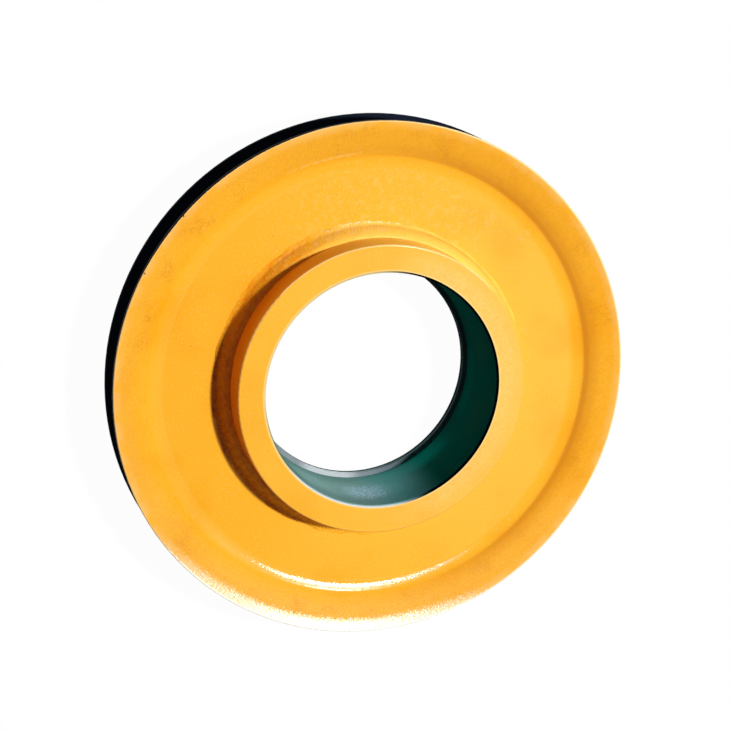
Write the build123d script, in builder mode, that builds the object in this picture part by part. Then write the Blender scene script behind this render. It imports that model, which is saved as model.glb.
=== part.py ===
"""Welded wire rope sheave: a rolled disc with a rope groove, a bored hub ring and two fillet welds.

Millimetres. +Z is the bore axis and points out of the open mouth of the bearing seat.
The origin is on that axis, in the middle plane of the rope groove.
"""

import os
from math import cos, radians, sin, tan

from build123d import *

# Rope groove, turned into the edge of the disc.
rim_diameter = 400.0
groove_depth = 24.0
groove_radius = 7.5  # seats a 14 mm rope
groove_angle = 45.0  # between the two flanks

# Rolled rim: the web is set out gently at first, then bends into a steep flare.
tip_thickness = 4.05
rim_height = 34.9  # from the foot of the flare to the edge of the rim
rim_face_slope = 13.0
foot_width = 6.5
foot_slope = 19.5
flare_slope = 31.5
flare_foot_round = 25.0
flare_bend_round = 16.0
flare_flat = 0.3  # straight part left between the bend and the knee
rim_edge_round = 1.0
web_thickness = 14.0

# Hub ring with a bearing seat that ends at a shoulder.
bore_diameter = 180.0
hub_wall = 21.5
hub_length = 80.0
hub_edge_round = 1.2
mouth_chamfer = 1.6
shoulder_height = 3.5
shoulder_length = 9.0
shoulder_chamfer = 3.0
hub_fit_clearance = 0.1

# Fillet weld between the hub and each side of the web, laid in several runs.
weld_leg_on_web = 12.5
weld_leg_on_hub = 8.8
weld_runs = 3
weld_run_crown = 0.8

rim_radius = rim_diameter / 2
groove_floor_radius = rim_radius - groove_depth
groove_centre_radius = groove_floor_radius + groove_radius
half_groove_angle = radians(groove_angle / 2)
web_half = web_thickness / 2
bore_radius = bore_diameter / 2
shoulder_radius = bore_radius - shoulder_height
hub_radius = bore_radius + hub_wall
hub_half = hub_length / 2
hub_seat_radius = hub_radius + hub_fit_clearance

# Where a straight flank leaves the round groove floor, and how wide the groove is at its mouth.
flank_start = (
    groove_centre_radius - groove_radius * sin(half_groove_angle),
    groove_radius * cos(half_groove_angle),
)
mouth_half = flank_start[1] + (rim_radius - flank_start[0]) * tan(half_groove_angle)
rim_half = mouth_half + tip_thickness

# The bend is where the gentle foot turns into the flare.
foot_radius = rim_radius - rim_height
bend_radius = foot_radius + foot_width
bend_half = web_half + foot_width * tan(radians(foot_slope))

# The knee is where the flare line meets the line of the outer rim face.
flare_rise = tan(radians(flare_slope))
face_rise = tan(radians(rim_face_slope))
knee_radius = (
    rim_half - bend_half + bend_radius * flare_rise - rim_radius * face_rise
) / (flare_rise - face_rise)
knee_half = bend_half + (knee_radius - bend_radius) * flare_rise

# The knee is rounded as far down the flare as the round of the bend leaves room.
flare_length = (knee_radius - bend_radius) / cos(radians(flare_slope))
bend_run = flare_bend_round * tan(radians(flare_slope - foot_slope) / 2)
knee_run = flare_length - bend_run - flare_flat
flare_knee_round = knee_run / tan(radians(flare_slope - rim_face_slope) / 2)


def named(part, name):
    """Label a finished piece and write it to its own STEP file."""
    part.label = name
    export_step(part, f"parts/{name}.step")


def corners(sketch, radius, height):
    """The two corners of a section at one radius, above and below its middle line."""
    return sketch.vertices().filter_by(
        lambda corner: abs(corner.X - radius) < 0.01 and abs(abs(corner.Y) - height) < 0.01
    )


def weld_part(side):
    """One fillet weld, on the +Z side of the web for side 1 and on the -Z side for side -1."""
    root = (hub_radius, side * web_half)
    toe = (hub_radius + weld_leg_on_web, side * web_half)
    top = (hub_radius, side * (web_half + weld_leg_on_hub))
    edges = [
        (
            toe[0] + (top[0] - toe[0]) * run / weld_runs,
            toe[1] + (top[1] - toe[1]) * run / weld_runs,
        )
        for run in range(weld_runs + 1)
    ]
    with BuildPart() as weld:
        with BuildSketch(Plane.XZ):
            with BuildLine():
                Polyline(top, root, toe)
                for start, end in zip(edges, edges[1:]):
                    SagittaArc(start, end, -side * weld_run_crown)
            make_face()
        revolve(axis=Axis.Z)
    return weld.part


os.makedirs("parts", exist_ok=True)

# Rolled disc: one section holds the web, both flanges and the groove.
with BuildPart() as rolled_disc:
    with BuildSketch(Plane.XZ) as section:
        with BuildLine():
            Polyline(
                (groove_floor_radius, 0),
                (hub_seat_radius, 0),
                (hub_seat_radius, web_half),
                (foot_radius, web_half),
                (bend_radius, bend_half),
                (knee_radius, knee_half),
                (rim_radius, rim_half),
                (rim_radius, mouth_half),
                flank_start,
            )
            RadiusArc(flank_start, (groove_floor_radius, 0), -groove_radius)
        make_face()
        mirror(about=Plane.XZ)
        fillet(corners(section, foot_radius, web_half), radius=flare_foot_round)
        fillet(corners(section, bend_radius, bend_half), radius=flare_bend_round)
        fillet(corners(section, knee_radius, knee_half), radius=flare_knee_round)
        fillet(corners(section, rim_radius, rim_half), radius=rim_edge_round)
        fillet(corners(section, rim_radius, mouth_half), radius=rim_edge_round)
    revolve(axis=Axis.Z)
named(rolled_disc.part, "rolled_disc")

# Hub ring: bearing seat open towards +Z, with a narrow shoulder at the -Z end.
with BuildPart() as hub:
    with BuildSketch(Plane.XZ) as hub_section:
        with BuildLine():
            Polyline(
                (bore_radius, hub_half),
                (hub_radius, hub_half),
                (hub_radius, -hub_half),
                (shoulder_radius, -hub_half),
                (shoulder_radius, shoulder_length - hub_half),
                (bore_radius, shoulder_length - hub_half),
                close=True,
            )
        make_face()
        fillet(corners(hub_section, hub_radius, hub_half), radius=hub_edge_round)
        chamfer(corners(hub_section, bore_radius, hub_half), length=mouth_chamfer)
        chamfer(corners(hub_section, shoulder_radius, hub_half), length=shoulder_chamfer)
    revolve(axis=Axis.Z)
named(hub.part, "hub")

named(weld_part(1), "front_weld")
named(weld_part(-1), "rear_weld")

print("rim width", round(2 * rim_half, 2), "groove mouth", round(2 * mouth_half, 2))
print("hub diameter", 2 * hub_radius, "tread diameter", 2 * groove_floor_radius)
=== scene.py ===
# %% [markdown]
# A wire rope sheave is the grooved wheel that a crane's rope runs over. This one
# is a steel disc whose rim was rolled to a deep groove. A turned hub is welded
# into the disc on both sides, and the whole was painted yellow after the groove
# and the bore were masked off. The solids come ready made and exactly to size, so
# Blender adds what a solid can't hold: the weld's ripples, the paint, the oiled
# bore and the light. Every length below is in metres, or in MM.

# %% Open the frame
import math

import bmesh
import bpy
from mathutils import Matrix, Vector, noise


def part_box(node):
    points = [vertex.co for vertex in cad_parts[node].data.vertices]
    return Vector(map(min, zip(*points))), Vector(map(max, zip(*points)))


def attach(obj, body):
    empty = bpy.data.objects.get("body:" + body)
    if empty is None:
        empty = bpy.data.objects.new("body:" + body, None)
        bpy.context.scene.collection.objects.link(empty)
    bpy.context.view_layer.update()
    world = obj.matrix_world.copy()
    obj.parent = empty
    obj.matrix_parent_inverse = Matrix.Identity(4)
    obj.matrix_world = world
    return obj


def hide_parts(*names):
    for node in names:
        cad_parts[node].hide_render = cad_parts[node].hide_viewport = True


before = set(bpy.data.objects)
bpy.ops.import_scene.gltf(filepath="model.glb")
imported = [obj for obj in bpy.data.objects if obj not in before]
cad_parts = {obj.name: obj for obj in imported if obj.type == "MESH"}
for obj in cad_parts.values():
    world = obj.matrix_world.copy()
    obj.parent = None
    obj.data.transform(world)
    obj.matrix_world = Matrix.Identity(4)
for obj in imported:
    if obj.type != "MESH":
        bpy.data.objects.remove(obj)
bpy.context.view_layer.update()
print("CAD nodes:", sorted(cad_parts))

# %% [markdown]
# The finishes are placed by what the solids say. The hub's box gives its radius and
# its two end faces, the weld's box gives the web's face and the toe, and the disc's
# box gives the rim. Only the bore is inside every box, so its size is written here.

# %% Measure the solids
MM = 0.001
rim_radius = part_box("rolled_disc")[1].x
rim_half_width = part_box("rolled_disc")[1].z
hub_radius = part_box("hub")[1].x
hub_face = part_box("hub")[1].z
floor_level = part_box("hub")[0].z
weld_low, weld_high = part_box("front_weld")
web_face = weld_low.z
weld_toe_radius = weld_high.x
bore_radius = 90 * MM
print("rim", rim_radius, rim_half_width, "hub", hub_radius, hub_face)
print("web", web_face, "weld toe", weld_toe_radius)

# %% [markdown]
# Directions on a round part are easiest to give as an azimuth about its axis, in
# degrees from +X towards +Y. Each name below that ends in SIDE is such an azimuth:
# the side of the part where a lamp stands, where dust settled or where paint is thin.

# %% Directions about the axis


def around(azimuth, reach=1.0, height=0.0):
    """The point at this azimuth, this far from the axis and this high."""
    turn = math.radians(azimuth)
    return Vector((reach * math.cos(turn), reach * math.sin(turn), height))


print("azimuth 90 points along", [round(value, 3) for value in around(90)])

# %% [markdown]
# Shader sums read best as sums. A Signal holds one output socket, and its operators
# add the Math node that works the sum out, so that `1 - mask * 0.5` is two nodes in
# one line. Numbers alone never become nodes.

# %% Sums of shader values


class Signal:
    """One output socket; + - * / on it add the Math node for that sum."""

    def __init__(self, nodes, socket):
        self.nodes, self.socket = nodes, socket

    def _sum(self, operation, left, right):
        settings = {"operation": operation}
        return self.nodes.node("ShaderNodeMath", settings, {0: left, 1: right})

    def __add__(self, other):
        return self._sum("ADD", self, other)

    def __sub__(self, other):
        return self._sum("SUBTRACT", self, other)

    def __rsub__(self, other):
        return self._sum("SUBTRACT", other, self)

    def __mul__(self, other):
        return self._sum("MULTIPLY", self, other)

    def __truediv__(self, other):
        return self._sum("DIVIDE", self, other)

    def larger(self, other):
        return self._sum("MAXIMUM", self, other)

    __radd__, __rmul__ = __add__, __mul__


# %% [markdown]
# One method makes any node: it takes the node's type, its settings and what its
# sockets hold, and gives one output back as a Signal. Materials and the world both
# have a node tree, so the method belongs to the tree. So does the question that the
# floor and the world both ask: is this ray seen directly or in a reflection, or does
# it only carry light to a surface?

# %% One method for any node


class Nodes:
    """The node tree of a material or of the world."""

    def __init__(self, tree):
        self.tree = tree

    def node(self, kind, settings=None, inputs=None, out=0):
        """Make a node, set it up, fill its sockets and give one output."""
        made = self.tree.nodes.new(kind)
        for key, value in (settings or {}).items():
            setattr(made, key, value)
        for key, value in (inputs or {}).items():
            self.plug(made.inputs[key], value)
        return Signal(self, made.outputs[out])

    def plug(self, socket, value):
        """Link a Signal to a socket, or set the socket to a plain value."""
        if isinstance(value, Signal):
            self.tree.links.new(value.socket, socket)
        else:
            socket.default_value = value

    def feed(self, layer, **sockets):
        """Fill a shader's sockets, named with _ for a space."""
        for name, value in sockets.items():
            self.plug(layer.inputs[name.replace("_", " ")], value)

    def in_view(self):
        """1 for the camera's rays and for what is mirrored or seen through."""
        seen = self.node("ShaderNodeLightPath", out="Is Camera Ray")
        for ray in ("Is Glossy Ray", "Is Transmission Ray"):
            seen = seen.larger(self.node("ShaderNodeLightPath", out=ray))
        return seen


# %% [markdown]
# Every mask is placed by object coordinates, because the part has no seams to unwrap
# along, and because the radius and the height say best where on a turned part a
# point lies. Four masks are used again and again: a soft step, a band, a patch that
# faces one azimuth, and a round spot.

# %% Masks on a turned part


class Masks(Nodes):
    """Masks that are 1 on one place of a turned part and 0 elsewhere."""

    def __init__(self, tree):
        super().__init__(tree)
        self.place = self.node("ShaderNodeTexCoord", out="Object")
        self.x, self.y, self.z = (
            self.node("ShaderNodeSeparateXYZ", None, {0: self.place}, out=axis)
            for axis in "XYZ"
        )
        self.radius = self.root(self.x * self.x + self.y * self.y)
        settings = {"operation": "ABSOLUTE"}
        self.height = self.node("ShaderNodeMath", settings, {0: self.z})

    def root(self, square):
        """The square root of a value."""
        return self.node("ShaderNodeMath", {"operation": "SQRT"}, {0: square})

    def step(self, value, low, high):
        """0 below low, 1 above high, and smooth between them."""
        settings = {"interpolation_type": "SMOOTHSTEP"}
        inputs = {"Value": value, "From Min": low, "From Max": high}
        return self.node("ShaderNodeMapRange", settings, inputs)

    def band(self, value, start, full, fade=None, end=None):
        """A soft rise from start to full, and a soft fall from fade to end."""
        rise = self.step(value, start, full)
        return rise if fade is None else rise * (1 - self.step(value, fade, end))

    def facing(self, azimuth, low, high):
        """A patch on one side of the axis, 1 where it faces this azimuth.

        The borders are cosines: 1 at the azimuth itself, 0 a quarter turn away
        from it and -1 on the far side.
        """
        side = around(azimuth)
        towards = (self.x * side.x + self.y * side.y) / self.radius
        return self.step(towards, low, high)

    def spot(self, centre, size):
        """A soft round spot of this size about one point."""
        x, y, z = self.x - centre.x, self.y - centre.y, self.z - centre.z
        away = self.root(x * x + y * y + z * z)
        return 1 - self.step(away, 0.15 * size, 0.5 * size)


# %% [markdown]
# A Finish is a material with the few tools that a painter of this sheave needs. It
# can make the masks and adds noise and specks for what is uneven, a mix that lays
# one colour over another, and a second layer over the coat. The layer is a whole
# shader of its own, because the paint and the bare metal differ in more than colour.

# %% A finish and its tools


def rgba(colour):
    """A colour of three numbers with the alpha that a socket wants."""
    return colour if isinstance(colour, Signal) else (*colour, 1.0)


class Finish(Masks):
    """A Principled material that is painted by object coordinates."""

    def __init__(self, name):
        self.material = bpy.data.materials.new(name)
        self.material.use_nodes = True
        super().__init__(self.material.node_tree)
        self.coat = self.tree.nodes["Principled BSDF"]

    def noise(self, size, detail=2.0, rough=0.5, offset=(0, 0, 0), stretch=(1, 1, 1)):
        """Noise with blotches of about this size."""
        inputs = {"Vector": self.place, "Location": offset, "Scale": stretch}
        place = self.node("ShaderNodeMapping", None, inputs)
        inputs = {"Vector": place, "Scale": 1 / size, "Detail": detail}
        inputs["Roughness"] = rough
        return self.node("ShaderNodeTexNoise", None, inputs)

    def specks(self, spacing, reach, offset=(0, 0, 0)):
        """Round specks about `reach` wide, one in each cell of this spacing."""
        inputs = {"Vector": self.place, "Location": offset}
        place = self.node("ShaderNodeMapping", None, inputs)
        inputs = {"Vector": place, "Scale": 1 / spacing}
        distance = self.node("ShaderNodeTexVoronoi", None, inputs, out="Distance")
        edge = reach / spacing / 2
        return 1 - self.step(distance, 0.6 * edge, edge)

    def mix(self, mask, base, over):
        """Lay one colour over another where the mask is 1."""
        settings = {"data_type": "RGBA"}
        inputs = {0: mask, 6: rgba(base), 7: rgba(over)}
        return self.node("ShaderNodeMix", settings, inputs, out=2)

    def bump(self, height, distance, strength=1.0):
        """Turn a height pattern into the tilt of the surface."""
        inputs = {"Height": height, "Distance": distance, "Strength": strength}
        return self.node("ShaderNodeBump", None, inputs)

    def layer(self, **sockets):
        """A second Principled shader, to be laid over the coat."""
        made = self.tree.nodes.new("ShaderNodeBsdfPrincipled")
        self.feed(made, **sockets)
        return made

    def cover(self, mask, layer):
        """Lay another shader over what shows so far, where the mask is 1."""
        surface = self.tree.nodes["Material Output"].inputs["Surface"]
        shaders = {0: mask, 1: Signal(self, surface.links[0].from_socket)}
        shaders[2] = Signal(self, layer.outputs[0])
        mixed = self.node("ShaderNodeMixShader", None, shaders)
        self.tree.links.new(mixed.socket, surface)


# %% [markdown]
# The paint is a glossy machinery yellow, laid on in one thick coat. It isn't one
# colour: broad clouds are a little more orange where the coat is thin, dust has
# settled as pale grains, and a few specks of dirt dried into it. All of it is kept
# once, so that the disc, the hub and the weld are from the same tin.

# %% The tin of paint
YELLOW = (0.92, 0.435, 0.020)
THIN_COAT_AND_SHADE = (0.89, 0.385, 0.010)
FULL_COAT_AND_LIGHT = (0.96, 0.58, 0.075)
WARM_COAT_AND_SHADE = (0.90, 0.19, 0.002)
PALE_DUST_AND_SHEEN = (0.94, 0.56, 0.15)
DIRT = (0.33, 0.12, 0.010)
SMUDGE_AND_SHADE = (0.60, 0.215, 0.008)
PALE_EDGE_AND_HIGHLIGHT = (1.0, 0.80, 0.42)


def paint_colour(finish, dust_and_sheen):
    """Yellow with thin places, dust grains and a little dirt; the dust also stands in
    for a painted sheen.
    """
    thin = finish.step(finish.noise(60 * MM, detail=3), 0.48, 0.72)
    colour = finish.mix(thin, YELLOW, THIN_COAT_AND_SHADE)
    grain = finish.noise(1.8 * MM, detail=2, rough=0.6)
    patches = finish.step(finish.noise(34 * MM, offset=(3, 1, 2)), 0.42, 0.7)
    coarse = finish.step(grain, 0.56, 0.74) * (patches * 0.35 + dust_and_sheen * 0.5)
    colour = finish.mix(coarse, colour, PALE_DUST_AND_SHEEN)
    # Where the mask is high, the dust also stands in for a painted sheen.
    colour = finish.mix(dust_and_sheen * 0.6, colour, PALE_DUST_AND_SHEEN)
    dirt = finish.specks(17 * MM, 0.9 * MM)
    colour = finish.mix(dirt * 0.75, colour, DIRT)
    fine = finish.step(grain, 0.54, 0.66) * 0.16
    colour = finish.mix(fine, colour, PALE_DUST_AND_SHEEN)
    hollows = (1 - finish.step(grain, 0.34, 0.46)) * (dust_and_sheen * 0.35 + 0.22)
    return finish.mix(hollows, colour, THIN_COAT_AND_SHADE)


print("the yellow is", YELLOW)

# %% [markdown]
# A low roughness keeps the lamp's reflection narrow, and the skin of the paint breaks
# up its ends: the orange peel of a thick coat with fine grit in it. The skin is a
# bump, because it is a tenth of a millimetre deep and no outline would show it.

# %% Brush the paint on


def paint_skin(finish, gritty):
    """The height of the orange peel, with fine grit in it."""
    peel = finish.noise(7 * MM, detail=2, offset=(1, 5, 0))
    grit = finish.noise(1.1 * MM, detail=3, rough=0.7)
    return peel * 0.7 + grit * (gritty * 0.16)


def paint(finish, colour, dulled, gritty=1.0, shine=0.13):
    """Brush the paint on: duller where `dulled` is 1."""
    roughness = 0.15 + dulled * 0.25 + finish.noise(9 * MM, detail=3) * 0.06
    skin = finish.bump(paint_skin(finish, gritty), 0.30 * MM, 0.5)
    finish.feed(finish.coat, Base_Color=colour, Roughness=roughness, Normal=skin)
    finish.feed(finish.coat, Specular_IOR_Level=shine)
    print(finish.material.name, "has", len(finish.tree.nodes), "nodes")


# %% [markdown]
# The groove was masked off and blackened, so the black ends in a crisp line on the
# rounded edge of the rim. The mask follows the groove's own section: a round floor,
# two flanks that leave it as tangents and open by 45 degrees, and the land at their
# top. It is a little wider than the flanks, so that no yellow shows on them. On one
# side the black laps a little further onto the land, on the other less far.

# %% Where the disc is black
GROOVE_ANGLE = 45
GROOVE_DEPTH = 24 * MM
GROOVE_RADIUS = 7.5 * MM
MASK_MARGIN = 1.48 * MM
LAPPED_SIDE = 262
OPEN_SIDE = 272

disc = Finish("disc_paint_and_black_groove")


def zone(*depths):
    """A ring of the disc; its borders lie this many mm in from the rim's edge."""
    return disc.band(disc.radius, *(rim_radius - depth * MM for depth in depths))


lean = math.radians(GROOVE_ANGLE / 2)
flank_foot = rim_radius - GROOVE_DEPTH + GROOVE_RADIUS * (1 - math.sin(lean))
half_width = GROOVE_RADIUS * math.cos(lean) + MASK_MARGIN
throat = (disc.radius - flank_foot) * math.tan(lean) + half_width
in_groove = disc.step(throat - disc.height, 0, 0.2 * MM)
beyond_land = disc.radius - disc.height - (rim_radius - rim_half_width)
ragged = disc.noise(3 * MM, offset=(7, 0, 0)) * (0.5 * MM)
lapped = disc.facing(LAPPED_SIDE, 0.90, 0.97) * (0.7 * MM)
lapped = lapped - (1 - disc.facing(OPEN_SIDE, 0.20, 0.50)) * (1.0 * MM)
on_land = disc.step(beyond_land + ragged + lapped, 0.20 * MM, 0.32 * MM)
black = in_groove.larger(on_land * zone(2.8, 2.3))
print("the flanks start", round(flank_foot / MM, 1), "mm from the axis")

# %% [markdown]
# The rim was nicked in two places when the sheave was set down, and the black shows
# there. A nick is a spot on the edge, so it needs no shape of its own.

# %% Nicks in the edge of the rim
NICKED_SIDES = (286, 271.5)

for azimuth in NICKED_SIDES:
    nick = around(azimuth, rim_radius - 1.3 * MM, rim_half_width)
    black = black.larger(disc.spot(nick, 1.8 * MM))
print("nicks at azimuths", NICKED_SIDES)

# %% [markdown]
# Outside the groove the disc is yellow, and it is painted from the web outwards as it
# would be with a brush: one colour laid over the last. First comes what lies on the rim
# as a whole. On one side the rim carries pale dust grains, which also stand in for a
# painted glare. The flare, where the web turns out to the rim, is painted darker on the
# side away from the lamp, a painted shade; brown clouds with grit in them lie on the
# rim's face, and the paint gets thinner towards the edge.

# %% Painted shade on the flare, dust and clouds on the rim
DUST_AND_GLARE_RIM_SIDE = 35
FLARE_SHADE_SIDE = 140

# Pale dust grains on one side of the rim, which also stand in for a painted glare.
colour = paint_colour(disc, disc.facing(DUST_AND_GLARE_RIM_SIDE, 0.75, 1.0) * zone(24, 4) * 0.4)
# Painted shade: the flare and the rim are darker on the side away from the lamp.
flare_shade = zone(29.5, 26.5, 27, 14) * 0.40 + zone(28, 20) * 0.14
colour = disc.mix(flare_shade * disc.facing(FLARE_SHADE_SIDE, -0.3, 0.7), colour, SMUDGE_AND_SHADE)
on_rim = zone(30, 20, 10, 1)
clouds = disc.noise(26 * MM, detail=4, rough=0.6, offset=(2, 8, 1))
clouds = disc.step(clouds, 0.50, 0.72) * on_rim
grit = disc.noise(1.2 * MM, detail=1, rough=0.5, offset=(4, 4, 0))
grit = disc.step(grit, 0.48, 0.62)
colour = disc.mix(clouds * (grit * 0.35 + 0.20), colour, SMUDGE_AND_SHADE)
colour = disc.mix(zone(20, 8) * 0.35, colour, THIN_COAT_AND_SHADE)
print("grime faces azimuth", FLARE_SHADE_SIDE)

# %% [markdown]
# The rim's rounded edge is painted as a paler line, a painted highlight, strongest on
# one side. Just inside the flare the crease is painted darker on one side, a painted
# shade, one side of the rim is browner, and the edge is worn where slings and hooks
# rubbed along it.

# %% Edge, crease and wear of the rim
WORN_EDGE = (0.84, 0.54, 0.20)
RIM_HIGHLIGHT_SIDE = 140
BROWNER_RIM_SIDE = 209

# Painted highlight: a paler line on the rim's rounded edge, strongest on one side.
rim_edge_highlight = disc.step(beyond_land, -1.8 * MM, -0.7 * MM) * zone(10, 3)
rim_edge_highlight = rim_edge_highlight * (disc.facing(RIM_HIGHLIGHT_SIDE, 0.0, 0.5) * 0.55 + 0.30)
colour = disc.mix(rim_edge_highlight, colour, PALE_EDGE_AND_HIGHLIGHT)
# Painted shade: the crease is darker on the side away from the lamp.
crease_shade = zone(28.8, 26.7, 25.8, 22.5) * disc.facing(FLARE_SHADE_SIDE, 0.1, 0.8)
colour = disc.mix(crease_shade * 0.50, colour, SMUDGE_AND_SHADE)
browner_rim = on_rim * disc.facing(BROWNER_RIM_SIDE, 0.5, 0.9)
colour = disc.mix(browner_rim * 0.20, colour, SMUDGE_AND_SHADE)
worn = zone(8.5, 1.5) * disc.step(disc.noise(14 * MM, detail=5), 0.30, 0.60)
colour = disc.mix(worn * 0.40, colour, WORN_EDGE)
print("the edge is palest at azimuth", RIM_HIGHLIGHT_SIDE)

# %% [markdown]
# The web is the flat part between the flare and the weld. It is painted lighter on one
# side, a painted sheen, and a mottle of dry dust lies on the side opposite.

# %% Mottle and painted sheen of the web
MOTTLED_SIDE = 218
WEB_SHEEN_SIDE = 50

on_web = 1 - zone(42, 32)
mottle = disc.noise(6 * MM, detail=6, rough=0.9, offset=(9, 3, 0))
mottle = disc.step(mottle, 0.50, 0.60)
mottled = mottle * on_web * disc.facing(MOTTLED_SIDE, 0.72, 0.92)
colour = disc.mix(mottled * 0.35, colour, PALE_DUST_AND_SHEEN)
# Painted sheen: the web is painted lighter on one side.
full = on_web * disc.facing(WEB_SHEEN_SIDE, 0.68, 0.95)
colour = disc.mix(full * 0.14, colour, FULL_COAT_AND_LIGHT)
print("the web is mottled at azimuth", MOTTLED_SIDE)

# %% [markdown]
# Fine grit lies all over the rim. Last come the marks that sit in one place each: a
# pale streak in the crease, two pale patches on the web and five brown smudges on
# the rim. Each patch is given by its azimuth, by how far in from the rim's edge it
# lies and by its size, both in millimetres.

# %% Marks in one place
STREAK_SIDE = 237.5
PALE_SPOTS = ((187.5, 50, 16), (175.5, 40, 14))
BROWN_SMUDGES = (
    (232, 12, 22),
    (226, 7, 16),
    (188, 10, 26),
    (165, 10, 24),
    (147, 10, 26),
)


def patch(azimuth, depth, height, size):
    """A soft spot on the disc, this many mm in from the rim's edge."""
    return disc.spot(around(azimuth, rim_radius - depth * MM, height), size * MM)


colour = disc.mix(on_rim * grit * 0.20, colour, SMUDGE_AND_SHADE)
streak = zone(26.5, 25.5, 24.5, 23.5) * disc.facing(STREAK_SIDE, 0.984, 0.996)
streak = streak * disc.step(disc.noise(3 * MM), 0.35, 0.55)
colour = disc.mix(streak * 0.5, colour, PALE_DUST_AND_SHEEN)
for azimuth, depth, size in PALE_SPOTS:
    pale = patch(azimuth, depth, web_face, size) * mottle
    colour = disc.mix(pale * (grit * 0.3 + 0.5), colour, PALE_DUST_AND_SHEEN)
blots = disc.noise(9 * MM, detail=4, rough=0.7, offset=(5, 5, 5))
blots = disc.step(blots, 0.40, 0.62)
for azimuth, depth, size in BROWN_SMUDGES:
    brown = patch(azimuth, depth, 0.9 * rim_half_width, size) * blots
    colour = disc.mix(brown * (grit * 0.3 + 0.15), colour, SMUDGE_AND_SHADE)
print(len(PALE_SPOTS), "pale patches,", len(BROWN_SMUDGES), "brown smudges")

# %% [markdown]
# The rim's paint is gritty and sparkles. The foot of the flare is dull on the side
# where grime was rubbed in, and so is the knee on the side that faces the light.

# %% Gloss of the disc
RUBBED_SIDE = 275
GLARE_SIDE = 39

sparkle = zone(24, 14)
foot = zone(40, 36, 30, 26) * disc.facing(RUBBED_SIDE, -0.2, 0.4)
knee = zone(28, 23) * disc.facing(GLARE_SIDE, 0.2, 0.7)
dull = (sparkle * 0.35).larger(foot * 1.5).larger(knee * 1.4)
paint(disc, colour, dull, gritty=1.0 + sparkle * 3.0)

# %% [markdown]
# On the side towards the light, paint ran down and gathered thickly at the foot of
# the flare and on the rim. It sags outwards there and flashes white. A second,
# glossier layer lies over those two rings. The sag is a slope in its bump, so that
# the layer mirrors the lamp where the true surface would just miss it. The mask is
# the spread of the layer plus fine noise, cut off by a step, so that the flash
# breaks up into glitter at its borders instead of fading.

# %% Glare on the thick paint
GLARE_WHITE = (1.0, 0.90, 0.70)
FOOT_SIDE = 42
RIM_SIDE = 31
SAG = 0.10

grains = disc.noise(1.6 * MM, detail=2, rough=0.7) * (0.19 * MM)
# Painted highlight: the glossy layer's colour is nearly white towards the rim's edge.
glare_colour = disc.mix(zone(2.5, 1) * 0.8 + 0.2, colour, GLARE_WHITE)
glossy = disc.layer(Base_Color=glare_colour, Specular_IOR_Level=0.5)
disc.feed(glossy, Roughness=zone(26, 14) * 0.09 + 0.15)
disc.feed(glossy, Normal=disc.bump(grains + disc.radius * SAG, 1.0))
on_foot = zone(37.2, 34.4, 34, 30) * disc.facing(FOOT_SIDE, 0.72, 0.98) * 0.74
spread = on_foot.larger(zone(16, 1) * disc.facing(RIM_SIDE, 0.60, 0.97))
glitter = disc.noise(1.0 * MM, detail=1, rough=0.5, offset=(2, 2, 5))
disc.cover(disc.step(spread + glitter, 0.76, 1.22), glossy)
print("thick paint at azimuths", FOOT_SIDE, "and", RIM_SIDE)

# %% [markdown]
# The blacking in the groove is a thin matt film on steel. It is nearly black, with
# bluish clouds, and on one side it is painted a bluer grey, a painted reflection. It
# goes on last, over the yellow and its glare.

# %% Blacken the groove
BLACK = (0.0006, 0.0009, 0.0018)
BLUE_BLACK = (0.002, 0.004, 0.009)
REFLECTION_BLUE_BLACK = (0.007, 0.011, 0.022)
REFLECTION_SIDE = 218

film = disc.mix(disc.noise(12 * MM, offset=(0, 2, 9)), BLACK, BLUE_BLACK)
# Painted reflection: the blacking is a bluer grey on one side.
film = disc.mix(disc.facing(REFLECTION_SIDE, 0.92, 1.0), film, REFLECTION_BLUE_BLACK)
blacking = disc.layer(Base_Color=film, Roughness=0.5, Specular_IOR_Level=0.02)
disc.cover(black, blacking)
print("the groove is blackened, and bluish at azimuth", REFLECTION_SIDE)

# %% [markdown]
# The hub is one turned ring in two finishes. Its outside and end faces are painted.
# The bore, with its chamfered mouth and the shoulder that will stop the bearing, was
# machined after painting. The mask for bare steel is a radius, because nothing that
# is painted lies further in than the mouth. The mouth and the chamfer that leads in
# to the shoulder get masks of their own, because they catch the light differently.

# %% Where the hub is bare
MOUTH_CHAMFER = 1.6 * MM
SHOULDER_LENGTH = 9 * MM
SHOULDER_CHAMFER = 3 * MM
mouth_radius = bore_radius + MOUTH_CHAMFER
shoulder_top = floor_level + SHOULDER_LENGTH
lip_top = shoulder_top - SHOULDER_CHAMFER

hub = Finish("hub_paint_and_oiled_bore")
bare = 1 - hub.step(hub.radius, mouth_radius - 0.15 * MM, mouth_radius + 0.05 * MM)
mouth_foot = hub_face - MOUTH_CHAMFER
on_mouth = hub.step(hub.height, mouth_foot - 0.1 * MM, mouth_foot)
lead_in = hub.band(
    hub.z,
    lip_top - 0.1 * MM,
    lip_top + 0.1 * MM,
    shoulder_top + 0.1 * MM,
    shoulder_top + 0.3 * MM,
)
print("bare steel inside", round(mouth_radius / MM, 1), "mm")

# %% [markdown]
# Dust lies on the hub's face on one side, thickest towards the bore, and it also stands
# in for a painted sheen there. Round the wall the paint is painted lighter on the side
# the lamp reaches and a warmer orange on the side away from it, painted light and
# painted shade, with one narrow painted highlight. The two edges of the face were
# turned sharp, and the paint pulled thin and pale over them; on the outer edge the
# paler line is a painted highlight, strongest on one side.

# %% Paint of the hub
GLINT = (1.0, 0.93, 0.72)
DUST_AND_SHEEN_SIDE = 134
LIT_WALL_SIDE = 225
GLINT_SIDE = 183
SHADED_WALL_SIDE = 318
EDGE_HIGHLIGHT_SIDE = 240

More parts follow.
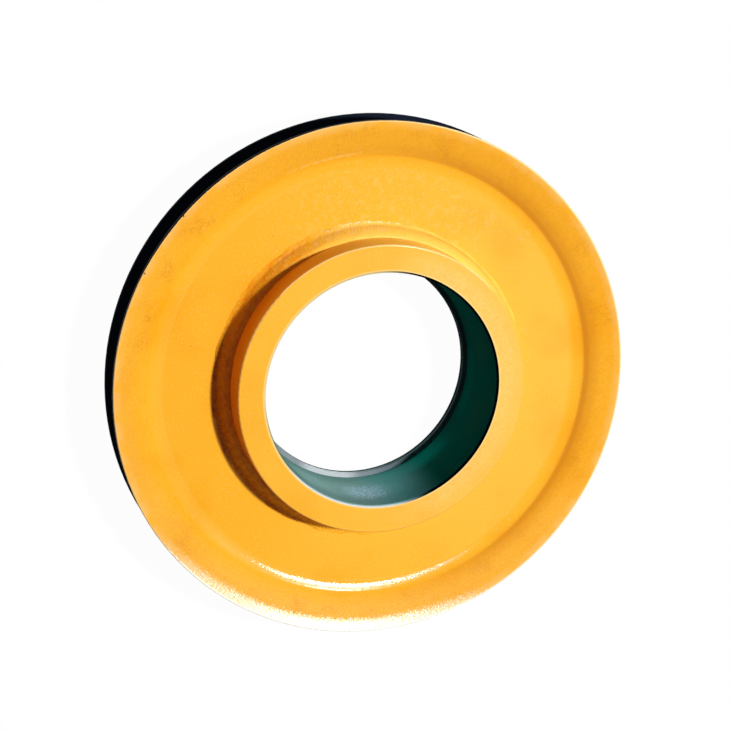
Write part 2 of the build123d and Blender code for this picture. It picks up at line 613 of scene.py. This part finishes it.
on_face = hub.step(hub.height, hub_face - 0.4 * MM, hub_face)
on_wall = 1 - on_face
# The dust on the face also stands in for a painted sheen.
dust_and_sheen = hub.facing(DUST_AND_SHEEN_SIDE, -0.05, 0.60) * on_face
dust_and_sheen = dust_and_sheen * (hub.noise(20 * MM, detail=2) * 0.5 + 0.6)
dust_and_sheen = dust_and_sheen * (1 - hub.step(hub.radius, 100 * MM, 108 * MM) * 0.6)
colour = hub.mix((1 - dust_and_sheen) * 0.15, paint_colour(hub, dust_and_sheen), FULL_COAT_AND_LIGHT)
# Painted light: the wall is lighter on the side the lamp reaches.
lit_wall = hub.facing(LIT_WALL_SIDE, 0.55, 0.95) * on_wall
colour = hub.mix(lit_wall * 0.6, colour, FULL_COAT_AND_LIGHT)
# Painted highlight: one narrow glint on the wall.
glint = hub.facing(GLINT_SIDE, 0.986, 0.9995) * on_wall
colour = hub.mix(glint * 0.55, colour, GLINT)
# Painted shade: the wall is a warmer orange on the side away from the lamp.
shaded_wall = hub.facing(SHADED_WALL_SIDE, -0.05, 0.60) * on_wall
colour = hub.mix(shaded_wall * 0.5, colour, WARM_COAT_AND_SHADE)
# Painted highlight: the outer edge of the face is paler, most of all on one side.
outer_edge_highlight = hub.step(hub.radius, hub_radius - 1.4 * MM, hub_radius - 0.8 * MM)
outer_edge_highlight = outer_edge_highlight * hub.step(hub.height, hub_face - 0.9 * MM, hub_face - 0.6 * MM)
outer_edge_highlight = outer_edge_highlight * (hub.facing(EDGE_HIGHLIGHT_SIDE, 0.3, 0.8) * 0.35 + 0.08)
inner_edge = 1 - hub.step(hub.radius, mouth_radius + 0.6 * MM, mouth_radius + 1.2 * MM)
colour = hub.mix(outer_edge_highlight.larger(inner_edge * 0.35), colour, PALE_EDGE_AND_HIGHLIGHT)
paint(hub, colour, dust_and_sheen, shine=0.2)

# %% [markdown]
# The bore was oiled against rust, and the oil dried to a dark green film, brownish
# in places. Deep inside it is still wet on one side and shines through brighter.

# %% Oil film in the bore
OIL_FILM = (0.001, 0.080, 0.058)
OIL_BROWN = (0.008, 0.080, 0.052)
WET_FILM = (0.002, 0.27, 0.20)
DULL_STEEL = (0.11, 0.15, 0.17)
WET_SIDE = 66
GREEN_SIDE = 126

bore_colour = hub.mix(hub.step(hub.noise(30 * MM), 0.45, 0.7), OIL_FILM, OIL_BROWN)
wet = hub.facing(WET_SIDE, 0.84, 1.0) * (1 - hub.step(hub.z, -16 * MM, 0))
streak = hub.facing(GREEN_SIDE, 0.92, 0.995)
streak = streak * (1 - hub.step(hub.z, -22 * MM, -8 * MM))
wet = (wet * 0.6).larger(streak * 0.16)
bore_colour = hub.mix(wet, bore_colour, WET_FILM)
bore_colour = hub.mix(lead_in, bore_colour, DULL_STEEL)
print("the oil is wettest at azimuth", WET_SIDE)

# %% [markdown]
# On one side the oil dried out and went hazy, and the haze is also a painted sheen,
# paler where the lamp reaches into the bore. The haze is pale green with bluish
# blotches, with one paler spot where a drop dried. It thins towards both ends.

# %% Haze where the oil dried
HAZE_AND_SHEEN = (0.27, 0.47, 0.43)
TEAL_HAZE = (0.10, 0.42, 0.44)
BLUE_HAZE = (0.46, 0.70, 0.84)
DRY_SIDE = 32
TEAL_SIDE = 68
DROP = around(42, bore_radius, 8 * MM)
DROP_SIZE = 46 * MM

mottle = hub.noise(2.2 * MM, detail=3, rough=0.65)
bluish = hub.step(hub.noise(14 * MM, detail=2, offset=(0, 4, 6)), 0.40, 0.62)
# The haze is also a painted sheen, paler where the lamp reaches.
haze_and_sheen = hub.mix(bluish * (mottle * 0.3), HAZE_AND_SHEEN, BLUE_HAZE)
haze_and_sheen = hub.mix(hub.facing(TEAL_SIDE, 0.88, 1.0) * 0.7, haze_and_sheen, TEAL_HAZE)
drop = hub.spot(DROP, DROP_SIZE) * hub.step(mottle, 0.35, 0.6)
haze_and_sheen = hub.mix(drop, haze_and_sheen, BLUE_HAZE)
deep = 1 - hub.step(hub.z, -30 * MM, 5 * MM)
thickness = 1 - hub.step(hub.z, 8 * MM, 30 * MM) * 0.25 - deep * 0.45
dry = hub.facing(DRY_SIDE, 0.67, 0.98) * (mottle * 0.5 + 0.75)
bore_colour = hub.mix(dry * thickness * (1 - lead_in), bore_colour, haze_and_sheen)
print("the oil is dry at azimuth", DRY_SIDE)

# %% [markdown]
# The chamfer before the shoulder is bright steel where the light falls on it, and a
# little duller along its upper border. The mouth is bright too: blank steel beside
# the dried oil, cream where paint was wiped into it, and black on the far side. The
# lip below the chamfer keeps black oil.

# %% Bright and black edges of the bore
STEEL = (0.80, 0.83, 0.86)
CREAM = (0.86, 0.66, 0.28)
BLACK_OIL = (0.012, 0.020, 0.022)
LIT_SIDE = 29
LIT_ROUND_SIDE = 24
BRIGHT_MOUTH_SIDE = 318

lit = hub.facing(LIT_SIDE, 0.950, 0.993) * 0.6
lit = lead_in * (lit + hub.facing(LIT_ROUND_SIDE, 0.74, 0.96) * 0.32)
upper_border = hub.step(hub.z, shoulder_top - 1.3 * MM, shoulder_top - 0.3 * MM)
bore_colour = hub.mix(lit * (1 - upper_border * 0.4), bore_colour, STEEL)
mouth = hub.mix(hub.facing(DRY_SIDE, 0.70, 0.88), CREAM, STEEL)
bright_mouth = hub.facing(BRIGHT_MOUTH_SIDE, -0.40, 0.0)
outer_half = hub.step(hub.radius, bore_radius + 0.5 * MM, bore_radius + 0.9 * MM)
outer_half = outer_half.larger(1 - hub.facing(DRY_SIDE, 0.2, 0.6))
shown = on_mouth * bright_mouth * (outer_half * 0.8 + 0.1)
bore_colour = hub.mix(shown, bore_colour, mouth)
bore_colour = hub.mix(on_mouth * (1 - bright_mouth), bore_colour, BLACK)
lip = 1 - hub.step(hub.z, lip_top - 0.3 * MM, lip_top - 0.1 * MM)
bore_colour = hub.mix(lip * 0.85, bore_colour, BLACK_OIL)
print("the mouth is bright at azimuth", BRIGHT_MOUTH_SIDE)

# %% [markdown]
# Fine turning marks run round the bore. They are noise that is squeezed along the
# axis and drawn out across it, as a bump of a few hundredths of a millimetre.

# %% Machine and oil the bore
turning = hub.noise(0.7 * MM, detail=1, stretch=(0.02, 0.02, 1))
bore = hub.layer(Base_Color=bore_colour, Specular_IOR_Level=0.0)
hub.feed(bore, Roughness=0.45 + mottle * 0.1, Metallic=lit * 0.3)
hub.feed(bore, Normal=hub.bump(turning, 0.06 * MM, 0.6))
hub.cover(bare, bore)
print(hub.material.name, "has", len(hub.tree.nodes), "nodes with the bore")

# %% [markdown]
# The disc and the hub are already the right shape, so they stay as they are and only
# get their finish.

# %% Paint the solids
for name, finish in (("rolled_disc", disc), ("hub", hub)):
    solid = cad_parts[name]
    solid.data.materials.clear()
    solid.data.materials.append(finish.material)
    print(name, "is finished with", finish.material.name)

# %% [markdown]
# A fillet weld of this size is laid in three runs, one beside the other. The run at
# the hub lies nearly flat, the middle one is steep, and the outer one washes out
# into a thin toe on the web. The section is drawn once, as an edge loop in the XZ
# plane: the ledges are the borders of the runs and of the toe, as distances out from
# the hub and up from the web. The first two stretches bulge outwards between their
# ledges, and the outer two sag inwards. Three more corners sink the back of the
# section into the hub and the web, as a weld is.

# %% Section of the weld
LEDGES = ((0.0, 8.6), (4.2, 6.9), (8.6, 1.7), (11.5, 0.25), (12.5, 0.0))
BULGES = (0.32, 0.18, -0.22, -0.05)
POINTS_PER_RUN = 8
SUNK = 0.3 * MM
TURNED_IN = 2 * MM


def bulged(start, end, bulge):
    """The points of one run from its start ledge to its end ledge."""
    slope = (end - start).normalized()
    outward = Vector((-slope.z, 0, slope.x))
    for step in range(1, POINTS_PER_RUN + 1):
        part = step / POINTS_PER_RUN
        swell = 4 * part * (1 - part) * bulge * MM
        yield start.lerp(end, part) + outward * swell


def weld_section(weld):
    """Draw the closed section of the weld and give its vertices and edges."""
    foot = Vector((hub_radius, 0, web_face))
    ledges = [foot + Vector((out, 0, up)) * MM for out, up in LEDGES]
    points = [ledges[0]]
    for start, end, bulge in zip(ledges, ledges[1:], BULGES):
        points += bulged(start, end, bulge)
    points.append(ledges[-1] - Vector((TURNED_IN, 0, SUNK)))
    points.append(foot - Vector((SUNK, 0, SUNK)))
    points.append(ledges[0] - Vector((SUNK, 0, TURNED_IN)))
    corners = [weld.verts.new(point) for point in points]
    loop = zip(corners, corners[1:] + corners[:1])
    return corners + [weld.edges.new(pair) for pair in loop]


print("the weld's section has", len(BULGES) * POINTS_PER_RUN + 4, "corners")

# %% [markdown]
# The ring is too perfect as it leaves Spin. Each point of the face is then moved out
# of it by the run's ripples, which are crescents because the middle of the pool
# freezes last. The paint has half filled them, so they are low. Slow noise makes the
# crown wander and the toe uneven, brushed paint leaves streaks along the run, and
# each run has one lump where its end was laid over its start. On one side the toe
# stays closer to the hub. Heights are in millimetres.

# %% Ripples of a run
RIPPLES_ROUND = 290
RIPPLE_HEIGHTS = (0.06, 0.11, 0.10, 0.05)
LAP_SIDES = (232, 28, 118, 300)
LAP_WIDTH = 2.6
LUMP_HEIGHT = 0.30
NARROW_SIDE = 183
NARROWING = 3.2


def waves(azimuth, count, along):
    """Smooth noise round the ring, finer with a higher count."""
    here = around(math.degrees(azimuth))
    return noise.noise((here.x * count, here.y * count, along))


def where_on_run(out_from_hub):
    """The number of the run at this distance, and how far across it that is."""
    run = sum(out_from_hub > ledge[0] for ledge in LEDGES[1:-1])
    start, end = LEDGES[run][0], LEDGES[run + 1][0]
    across = (out_from_hub - start) / (end - start)
    return run, max(0.0, min(1.0, across))


def weld_relief(azimuth, reach, seed):
    """How far a point of the weld's face stands out, and how far it slides outwards."""
    out_from_hub = (reach - hub_radius) / MM
    run, across = where_on_run(out_from_hub)
    wander = waves(azimuth, 9, seed + run)
    uneven = waves(azimuth, 21, seed + run + 9.5)
    streak = waves(azimuth, 34, reach * 1100 + seed)
    grit = waves(azimuth, 110, reach * 900 + seed)
    crescent = 2.2 * (2 * across - 1) ** 2
    ripple = math.cos(RIPPLES_ROUND * azimuth + crescent + 2.6 * uneven + 2 * run)
    lap = (math.degrees(azimuth) - LAP_SIDES[run] - seed + 180) % 360 - 180
    lump = math.exp(-((lap / LAP_WIDTH) ** 2)) * LUMP_HEIGHT
    body = math.sin(math.pi * across) ** 0.7 if 0 < across < 1 else 0.0
    out = body * (RIPPLE_HEIGHTS[run] * ripple + 0.30 * wander + lump)
    out += (0.10 * streak + 0.09 * grit) * (0.25 + body)
    narrow = max(0.0, math.cos(azimuth - math.radians(NARROW_SIDE))) ** 4
    slide = 0.7 * wander + 0.5 * uneven - NARROWING * narrow
    return out * MM, slide * max(0.0, out_from_hub / 6 - 1) * MM


print("a ripple every", round(360 / RIPPLES_ROUND, 2), "degrees")

# %% [markdown]
# Spinning a few degrees at a time all the way round gets slow, because each step of
# Spin looks at the whole mesh again. One twentieth is spun and then copied round by
# a second Spin, and the seams between the copies are merged.

# %% Spin the ring
SECTORS = 20
STEPS_IN_SECTOR = 90


def ring_of(weld, section):
    """Spin the section into one sector, and the sector into a closed ring."""
    turn = {"cent": (0, 0, 0), "axis": (0, 0, 1)}
    sector = math.tau / SECTORS
    bmesh.ops.spin(weld, geom=section, angle=sector, steps=STEPS_IN_SECTOR, **turn)
    copies = SECTORS - 1
    turn |= {"angle": sector * copies, "steps": copies, "use_duplicate": True}
    bmesh.ops.spin(weld, geom=weld.faces, **turn)
    bmesh.ops.remove_doubles(weld, verts=weld.verts, dist=0.001 * MM)


print("the ring has", SECTORS * STEPS_IN_SECTOR, "steps")

# %% [markdown]
# The points of the face are moved all at once, after the normals of the plain ring
# were read. What is sunk into the hub and the web stays where it is. The rear weld
# is the same ring turned over, with another seed, so that the two sides aren't
# twins. Scaling by -1 turns a mesh inside out, so its normals are worked out last.

# %% Lay the two welds


def ripple(weld, seed):
    """Move the face of a plain ring out by the ripples of its runs."""
    weld.normal_update()
    moves = []
    for vertex in weld.verts:
        reach = vertex.co.xy.length
        if reach < hub_radius - 0.1 * MM or vertex.co.z < web_face - 0.1 * MM:
            continue
        azimuth = math.atan2(vertex.co.y, vertex.co.x)
        out, slide = weld_relief(azimuth, reach, seed)
        move = vertex.normal * out + around(math.degrees(azimuth), slide)
        moves.append((vertex, move))
    for vertex, move in moves:
        vertex.co += move


def lay_weld(name, node, side, seed):
    """Make the rippled ring that stands for one of the CAD's plain fillets."""
    weld = bmesh.new()
    ring_of(weld, weld_section(weld))
    bmesh.ops.recalc_face_normals(weld, faces=weld.faces)
    ripple(weld, seed)
    bmesh.ops.scale(weld, vec=(1, 1, side), verts=weld.verts)
    bmesh.ops.recalc_face_normals(weld, faces=weld.faces)
    for face in weld.faces:
        face.smooth = True
    mesh = bpy.data.meshes.new(name)
    weld.to_mesh(mesh)
    weld.free()
    piece = bpy.data.objects.new(name, mesh)
    bpy.context.collection.objects.link(piece)
    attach(piece, "root")
    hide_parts(node)
    print(name, len(mesh.polygons), "faces")
    return piece


front_runs = lay_weld("front_weld_runs", "front_weld", 1, 0)
rear_runs = lay_weld("rear_weld_runs", "rear_weld", -1, 37)

# %% [markdown]
# Paint lies differently on the weld. The run beside the hub has a full coat. The whole
# weld is painted lighter on the side of the lamp, a painted light, and darker on the
# side that faces the sheen panel, a painted shade. The steep middle run caught dry
# overspray on one side, so it is a dull tan there.

# %% Coats on the welds
LIT_WELD_COAT = (0.97, 0.60, 0.10)
OVERSPRAY = (0.95, 0.56, 0.20)
LIT_WELD_SIDE = 192
PANEL_SHADE_SIDE = 105
OVERSPRAY_SIDE = 242

beads = Finish("weld_paint")
colour = paint_colour(beads, 0.0)
first_border, second_border = (hub_radius + ledge[0] * MM for ledge in LEDGES[1:3])
inner_run = 1 - beads.step(beads.radius, first_border - 1.5 * MM, first_border)
colour = beads.mix(inner_run * 0.5, colour, FULL_COAT_AND_LIGHT)
# Painted light: the weld is lighter on the side of the lamp.
lit_weld = beads.facing(LIT_WELD_SIDE, 0.50, 0.86)
colour = beads.mix(lit_weld * 0.85, colour, LIT_WELD_COAT)
# Painted shade: the weld is darker on the side that faces the sheen panel.
colour = beads.mix(beads.facing(PANEL_SHADE_SIDE, 0.5, 0.9) * 0.4, colour, THIN_COAT_AND_SHADE)
oversprayed = beads.facing(OVERSPRAY_SIDE, 0.90, 0.98) * beads.band(
    beads.radius,
    first_border - 1 * MM,
    first_border + 1 * MM,
    second_border,
    second_border + 3 * MM,
)
dry_spray = beads.step(beads.noise(5 * MM, detail=4, rough=0.7), 0.44, 0.64)
colour = beads.mix(oversprayed * dry_spray * 0.6, colour, OVERSPRAY)
print("overspray faces azimuth", OVERSPRAY_SIDE)

# %% [markdown]
# Dirt sits in pinholes along the toe and beside the hub, and bright flecks on the toe
# of one side are painted highlights. On one side the coat is blotchy and a warmer
# orange. On the side away from the lamp the weld is painted darker and redder, and
# browner towards the toe: painted shade.

# %% Blotches, pinholes, painted highlights and painted shade
PAINTED_SHADE_COAT = (0.52, 0.12, 0.002)
BLOTCHED_SIDE = 272
TOE_HIGHLIGHT_SIDE = 220
PAINTED_SHADE_SIDE = 338
RED_SHADE_SIDE = 310


def near_toe(start, full):
    """1 at the toe; the borders lie this many mm in from it."""
    radii = (weld_toe_radius - start * MM, weld_toe_radius - full * MM)
    return beads.step(beads.radius, *radii)


at_toe = near_toe(3.4, 2)
blotches = beads.noise(4 * MM, detail=4, rough=0.7, offset=(0, 3, 0))
blotches = beads.step(blotches, 0.42, 0.62)
blotched = beads.facing(BLOTCHED_SIDE, 0.88, 0.98) * (blotches * 0.4 + 0.1)
colour = beads.mix(blotched, colour, WARM_COAT_AND_SHADE)
pinholes = beads.specks(5 * MM, 0.9 * MM, offset=(0.1, 0, 0))
colour = beads.mix(pinholes * at_toe.larger(inner_run) * 0.5, colour, DIRT)
# Painted highlights: bright flecks on the toe of one side.
toe_highlights = beads.noise(2.4 * MM, detail=3, rough=0.7, offset=(1, 0, 4))
toe_highlights = beads.step(toe_highlights, 0.52, 0.62) * at_toe
toe_highlights = toe_highlights * beads.facing(TOE_HIGHLIGHT_SIDE, 0.90, 0.97)
colour = beads.mix(toe_highlights * 0.8, colour, GLINT)
# Painted shade: darker on the side away from the lamp, browner towards the toe.
painted_shade = near_toe(8, 3) * 0.5 + blotches * 0.35 + 0.05
painted_shade = painted_shade * beads.facing(PAINTED_SHADE_SIDE, 0.62, 0.85)
colour = beads.mix(painted_shade, colour, PAINTED_SHADE_COAT)
# Painted shade: a redder orange on the shaded side.
red_shade = beads.facing(RED_SHADE_SIDE, 0.86, 0.98) * (1 - near_toe(5, 2))
colour = beads.mix(red_shade * 0.34, colour, WARM_COAT_AND_SHADE)
print("the coat is reddest at azimuth", RED_SHADE_SIDE)

# %% [markdown]
# The skin of the paint is coarser on the weld than on turned steel, and it hardly
# shines. Both rings get the same material.

# %% Paint the welds
paint(beads, colour, oversprayed, gritty=2.5, shine=0.06)
for piece in (front_runs, rear_runs):
    piece.data.materials.append(beads.material)
    print(piece.name, "is finished with", beads.material.name)

# %% [markdown]
# The floor is white paper. For the camera and for reflections most of it shines by
# itself, which gives a clean white ground without more light on the sheave, and the
# rest is plain paper, so the sheave still throws a shadow on it.

# %% Floor
FLOOR_SIZE = 12.0
PAPER_WHITE = (0.96, 0.96, 0.96)
PAPER_GLOW = 0.975

ground = bmesh.new()
bmesh.ops.create_grid(ground, x_segments=1, y_segments=1, size=FLOOR_SIZE / 2)
bmesh.ops.translate(ground, vec=(0, 0, floor_level), verts=ground.verts)
floor_mesh = bpy.data.meshes.new("floor")
ground.to_mesh(floor_mesh)
ground.free()
floor = bpy.data.objects.new("floor", floor_mesh)
bpy.context.collection.objects.link(floor)

paper = Finish("white_paper")
paper.feed(paper.coat, Base_Color=rgba(PAPER_WHITE), Roughness=0.9)
paper.feed(paper.coat, Specular_IOR_Level=0.0)
glow = paper.tree.nodes.new("ShaderNodeEmission")
paper.feed(glow, Color=(1, 1, 1, 1), Strength=1.0)
paper.cover(paper.in_view() * PAPER_GLOW, glow)
floor_mesh.materials.append(paper.material)
print("floor at", round(floor_level / MM, 1), "mm")

# %% [markdown]
# One small round lamp does most of the work. It stands over one side of the part at
# a lean of 22 degrees from the axis, so that the hub's shadow just covers the weld
# on the other side. A wide weak panel only lays a sheen on the paint.

# %% Lamps
LAMP_SIDE = 158
LAMP_LEAN = 21.7
PANEL_SIDE = 102
PANEL_LEAN = 28.0


def hang(name, azimuth, lean, distance, size, watts):
    """Hang a round lamp that looks at the middle of the sheave."""
    data = bpy.data.lights.new(name, "AREA")
    data.shape, data.size, data.energy = "DISK", size, watts
    lamp = bpy.data.objects.new(name, data)
    turn = math.radians(lean)
    reach, height = distance * math.sin(turn), distance * math.cos(turn)
    lamp.location = around(azimuth, reach, height)
    lamp.rotation_euler = lamp.location.to_track_quat("Z", "Y").to_euler()
    bpy.context.collection.objects.link(lamp)
    print(name, "hangs at", [round(value, 2) for value in lamp.location])


hang("main_lamp", LAMP_SIDE, LAMP_LEAN, distance=2.4, size=0.15, watts=61.0)
hang("sheen_panel", PANEL_SIDE, PANEL_LEAN, distance=1.73, size=0.55, watts=2.6)

# %% [markdown]
# The world is white wherever the camera or a reflection meets it. To the surfaces it
# gives only a breath of light, which fills the shadows. One strength does both: it
# rises from the fill level to 1 where the ray is in view.

# %% World
FILL_LEVEL = 0.038

world = bpy.data.worlds.new("room")
world.use_nodes = True
bpy.context.scene.world = world
room = Nodes(world.node_tree)
strength = room.in_view() * (1 - FILL_LEVEL) + FILL_LEVEL
room.feed(world.node_tree.nodes["Background"], Color=(1, 1, 1, 1), Strength=strength)
print("the room fills shadows at", FILL_LEVEL)

# %% [markdown]
# The camera looks down on the front face from a lean of about 22 degrees, with a
# long lens, and is rolled about its own line of sight so that the groove shows at
# the upper left. Its three axes are worked out and set as a matrix, because Track To
# would keep the camera level.

# %% Camera
CAMERA_DISTANCE = 1.647
CAMERA_LEAN = 22.44
CAMERA_ROLL = 132.32
FOCAL_LENGTH = 106.4
SENSOR_WIDTH = 36
AIM = Vector((-5.0 * MM, -8.9 * MM, 0))

lean, roll = math.radians(CAMERA_LEAN), math.radians(CAMERA_ROLL)
eye = CAMERA_DISTANCE * Vector((0, -math.sin(lean), math.cos(lean)))
sight = (AIM - eye).normalized()
level_right = sight.cross(Vector((0, 0, 1))).normalized()
level_up = level_right.cross(sight)
right = level_right * math.cos(roll) + level_up * math.sin(roll)
up = level_up * math.cos(roll) - level_right * math.sin(roll)

lens = bpy.data.cameras.new("camera")
lens.lens, lens.sensor_width = FOCAL_LENGTH, SENSOR_WIDTH
lens.dof.use_dof = False
camera = bpy.data.objects.new("camera", lens)
axes = Matrix((right, up, -sight)).transposed().to_4x4()
camera.matrix_world = Matrix.Translation(eye) @ axes
bpy.context.collection.objects.link(camera)
bpy.context.scene.camera = camera
bpy.context.scene.view_settings.view_transform = "Standard"
print("camera at", [round(value, 3) for value in eye])
